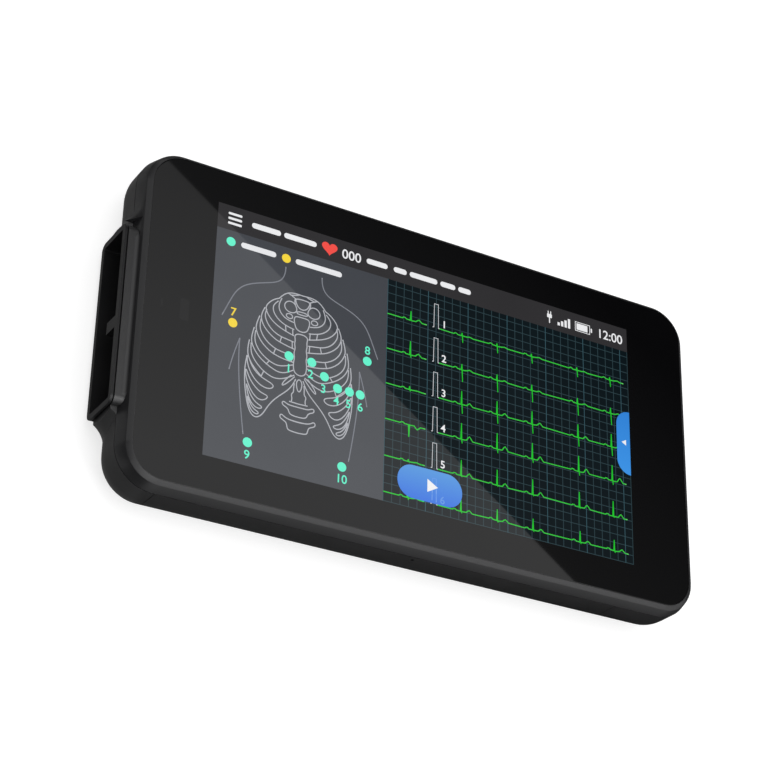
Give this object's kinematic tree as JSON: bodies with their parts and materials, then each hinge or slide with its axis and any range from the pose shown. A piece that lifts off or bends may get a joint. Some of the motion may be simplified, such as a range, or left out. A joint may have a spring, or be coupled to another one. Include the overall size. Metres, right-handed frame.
{
  "type": "ecg home monitor",
  "caption": "Flat handheld ECG monitor with a glass touch screen, a lead dock on one end, a lidded battery bay and a power button.",
  "frame": {"origin": "on the flat back it rests on, under the middle of the screen", "axes": "+X along the long side, away from the lead dock; +Y up the screen; +Z out of the glass"},
  "size_m": [0.1646, 0.0898, 0.019],
  "materials": {
    "glass": "glossy, black printed border",
    "tape": "matt",
    "front_plastic": "satin",
    "rear_plastic": "fine texture, matt",
    "dock_plastic": "satin",
    "button_plastic": "satin",
    "panel": "lit screen",
    "tray_steel": "satin",
    "frame_alloy": "satin",
    "shield_steel": "satin",
    "screw_steel": "dark plated",
    "contact_gold": "plated",
    "circuit_board": "solder mask",
    "flex": "satin",
    "chip": "matt",
    "insulator": "matt",
    "sensor": "smoked",
    "pad_rubber": "matt",
    "battery_wrap": "film wrapped"
  },
  "bodies": {
    "monitor": {"cover_glass": "glass", "glass_tape": "tape", "front_bezel": "front_plastic", "lcd_panel": "panel", "backlight_tray": "tray_steel", "display_flex": "flex", "mid_frame": "frame_alloy", "main_board": "circuit_board", "processor_shield": "shield_steel", "ecg_shield": "shield_steel", "board_chips": "chip", "rear_shell": "rear_plastic", "battery_cover": "rear_plastic", "battery_pack": "battery_wrap", "battery_contacts": "insulator", "port_frame": "dock_plastic", "lead_socket": "insulator", "lead_contacts": "contact_gold", "power_switch": "chip", "usb_socket": "shield_steel", "usb_tongue": "insulator", "speaker": "insulator", "microphone": "shield_steel", "antenna": "flex", "sensor_module": "sensor", "shell_seal": "pad_rubber", "shell_screws": "screw_steel", "board_screws": "screw_steel", "cover_screws": "screw_steel"},
    "button": {"power_button": "button_plastic", "button_pad": "pad_rubber"}
  },
  "joints": [
    {"name": "button_press", "type": "slide", "parent": "monitor", "child": "button", "axis": [0, -1, 0], "range_m": [0, 0.0004], "stiffness_N_per_m": 900}
  ]
}
